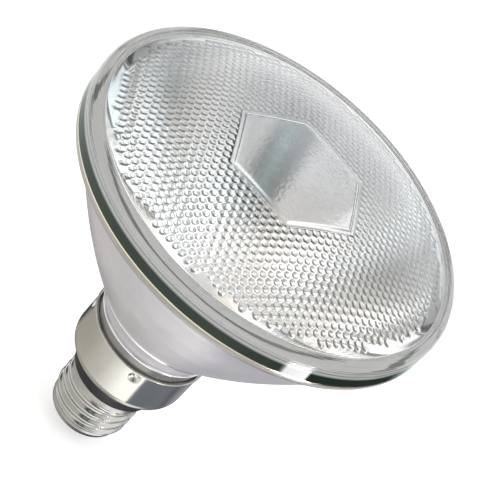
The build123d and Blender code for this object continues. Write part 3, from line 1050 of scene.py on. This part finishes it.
def threaded(angle, radius, height):
    """Radius of the shell's wall with its thread."""
    lift = smooth_rise((height - shell_cup_top) / thread_run_in)
    lift *= smooth_rise((shell_band_low - height) / thread_run_out)
    wave = math.cos(2 * math.pi * height / thread_pitch - angle)
    return radius + thread_depth * lift * (1 + wave) / 2


def shell_outline(inset):
    """Cup, threaded wall and top band of the shell, at a distance in from its outer face."""
    root_radius = thread_radius - thread_depth - inset
    lip = (shell_lip_radius - inset, shell_bottom)
    band_radius = shell_band_radius - inset
    step_top = (band_radius, shell_band_low + shell_band_step)
    return [
        *sagitta_arc(lip, (root_radius, shell_cup_top), -shell_cup_bulge, large_arc_steps),
        *straight_wall(root_radius, shell_cup_top, shell_band_low, thread_rows),
        *sagitta_arc((root_radius, shell_band_low), step_top, -shell_band_curl, tiny_arc_steps),
        (band_radius, shell_top),
    ]


def build_shell(finishes):
    spans = [(finishes["shell"], shell_outline(0) + shell_outline(shell_wall)[::-1])]
    shell = turned_piece("threaded_shell", spans, shell_segments, closed=True, shift=threaded)
    stands_for(shell, "screw_shell")


# Solids whose own form is kept get a finish each
KEPT_SOLIDS = {
    "insulating_ring": "moulding",
    "cap_glass": "cap",
    "centre_contact": "brass",
    "contact_solder": "solder",
    "shell_solder": "solder",
    "ferrule_a": "nickel",
    "ferrule_b": "nickel",
    "post_a": "nickel",
    "post_b": "nickel",
    "burner_glass": "quartz",
    "filament": "wire",
    "filament_lead_a": "wire",
    "filament_lead_b": "wire",
    "contact_wire": "copper",
    "shell_wire": "copper",
    "wire_sleeve": "sleeve",
}


def dress_kept_solids(finishes):
    for node, finish in KEPT_SOLIDS.items():
        mesh = NODES[node].data
        mesh.materials.clear()
        mesh.materials.append(finishes[finish])


# Stage: the photograph's view, pale floor and studio light
def camera_axes():
    """Right, up and back directions of the leaning camera."""
    level_right = Vector((math.cos(view_azimuth), math.sin(view_azimuth), 0))
    back = Vector((
        math.sin(view_azimuth) * math.cos(view_elevation),
        -math.cos(view_azimuth) * math.cos(view_elevation),
        math.sin(view_elevation),
    ))
    level_up = back.cross(level_right)
    right = level_right * math.cos(view_lean) + level_up * math.sin(view_lean)
    return right, back.cross(right), back


def add_camera():
    right, up, back = camera_axes()
    across = (aim_pixel.x - picture_side / 2) / focal_pixels * view_distance
    above = (picture_side / 2 - aim_pixel.y) / focal_pixels * view_distance
    place = Vector((0, 0, seam)) - right * across - up * above + back * view_distance
    data = bpy.data.cameras.new("view")
    data.sensor_width = sensor_width
    data.lens = focal_pixels / picture_side * sensor_width
    data.clip_start = view_clip_start * MM
    data.clip_end = view_clip_end * MM
    camera = bpy.data.objects.new("view", data)
    camera.matrix_world = Matrix.Translation(place * MM) @ Matrix((right, up, back)).transposed().to_4x4()
    bpy.context.scene.collection.objects.link(camera)
    bpy.context.scene.camera = camera


def stage_material(name):
    """Material with no shader yet, and the socket that takes one."""
    material = bpy.data.materials.new(name)
    material.use_nodes = True
    material.node_tree.nodes.clear()
    output = material.node_tree.nodes.new("ShaderNodeOutputMaterial")
    return material, output.inputs["Surface"]


def stage_piece(name, vertices, faces, material):
    """Flat piece of the stage."""
    mesh = bpy.data.meshes.new(name)
    mesh.from_pydata(vertices, [], faces)
    mesh.materials.append(material)
    piece = bpy.data.objects.new(name, mesh)
    bpy.context.scene.collection.objects.link(piece)
    return piece


def add_floor():
    """Pale floor that also glows where the camera, a reflection or the glass sees it."""
    material, surface = stage_material("pale_floor")
    tree = material.node_tree
    path = tree.nodes.new("ShaderNodeLightPath")
    diffuse = tree.nodes.new("ShaderNodeBsdfDiffuse")
    diffuse.inputs["Color"].default_value = (*floor_colour, 1)
    glow = tree.nodes.new("ShaderNodeEmission")
    seen = new_math(tree, "MAXIMUM", path.outputs["Is Camera Ray"], path.outputs["Is Glossy Ray"])
    seen = new_math(tree, "MAXIMUM", seen, path.outputs["Is Transmission Ray"])
    tree.links.new(new_math(tree, "MULTIPLY", seen, floor_glow), glow.inputs["Strength"])
    both = tree.nodes.new("ShaderNodeAddShader")
    tree.links.new(diffuse.outputs["BSDF"], both.inputs[0])
    tree.links.new(glow.outputs["Emission"], both.inputs[1])
    tree.links.new(both.outputs["Shader"], surface)
    half = floor_side / 2 * MM
    corners = [(-half, -half, 0), (half, -half, 0), (half, half, 0), (-half, half, 0)]
    floor = stage_piece("floor", corners, [(0, 1, 2, 3)], material)


def add_card(name, inner, outer, tones):
    """Ring on the floor, seen in reflections alone, its tones set out from the camera's side."""
    material, surface = stage_material(name)
    tree = material.node_tree
    turn = tree.nodes.new("ShaderNodeTexGradient")
    turn.gradient_type = "RADIAL"
    tree.links.new(object_place(tree), turn.inputs["Vector"])
    stops = [(0.5 + angle / 360, tone) for angle, tone in tones]
    shade = tree.nodes.new("ShaderNodeEmission")
    tree.links.new(new_ramp(tree, turn.outputs["Fac"], stops), shade.inputs["Color"])
    tree.links.new(shade.outputs["Emission"], surface)
    inner_ring = ring_points(inner, card_height, card_segments)
    outer_ring = ring_points(outer, card_height, card_segments)
    faces = ring_strip(range(card_segments), range(card_segments, 2 * card_segments))
    card = stage_piece(name, inner_ring + outer_ring, faces, material)
    back = camera_axes()[2]
    card.rotation_euler.z = math.atan2(back.y, back.x)
    card.visible_camera = False
    card.visible_diffuse = False
    card.visible_transmission = False
    card.visible_shadow = False


def studio_direction(aside, above):
    """Direction in degrees to the right of the camera and above the floor."""
    turn = view_azimuth - math.pi / 2 + math.radians(aside)
    level = math.cos(math.radians(above))
    return level * math.cos(turn), level * math.sin(turn), math.sin(math.radians(above))


def lay_patch(tree, place, colour, direction, core, edge, tone):
    """The sky's colour with a round patch laid over it."""
    facing = tree.nodes.new("ShaderNodeVectorMath")
    facing.operation = "DOT_PRODUCT"
    facing.inputs[1].default_value = direction
    spread = tree.nodes.new("ShaderNodeMapRange")
    spread.interpolation_type = "SMOOTHSTEP"
    spread.inputs["From Min"].default_value = math.cos(math.radians(edge))
    spread.inputs["From Max"].default_value = math.cos(math.radians(core))
    tree.links.new(place, facing.inputs[0])
    tree.links.new(facing.outputs["Value"], spread.inputs["Value"])
    mix = new_mix(tree, spread.outputs["Result"], colour)
    mix.inputs["B"].default_value = (*tone, 1)
    return mix.outputs["Result"]


def add_world():
    world = bpy.data.worlds.new("studio")
    bpy.context.scene.world = world
    world.use_nodes = True
    tree = world.node_tree
    place = tree.nodes.new("ShaderNodeTexCoord").outputs["Generated"]
    colour = new_ramp(tree, split_place(tree, place)["Z"], WORLD_TONES)
    for aside, above, core, edge, tone in STUDIO_PATCHES:
        colour = lay_patch(tree, place, colour, studio_direction(aside, above), core, edge, tone)
    tree.links.new(colour, tree.nodes["Background"].inputs["Color"])


def add_softbox():
    """Square area lamp that the glass and the metal don't show."""
    right, up, back = camera_axes()
    centre = Vector((0, 0, seam))
    place = centre + right * softbox_offset[0] + up * softbox_offset[1] + back * softbox_offset[2]
    data = bpy.data.lights.new("key_softbox", "AREA")
    data.size = softbox_side * MM
    data.energy = softbox_power
    lamp = bpy.data.objects.new("key_softbox", data)
    lamp.location = place * MM
    lamp.rotation_mode = "QUATERNION"
    lamp.rotation_quaternion = (centre - place).to_track_quat("-Z", "Y")
    lamp.visible_glossy = False
    bpy.context.scene.collection.objects.link(lamp)


finishes = lens_finishes() | bowl_finishes() | cap_finishes() | inner_finishes()
build_lens(finishes)
build_reflector(finishes)
build_skirt(finishes)
build_shell(finishes)
dress_kept_solids(finishes)
add_camera()
add_floor()
add_world()
for name, card in CARDS.items():
    add_card(name, *card)
add_softbox()

bpy.context.scene.view_settings.view_transform = "Standard"
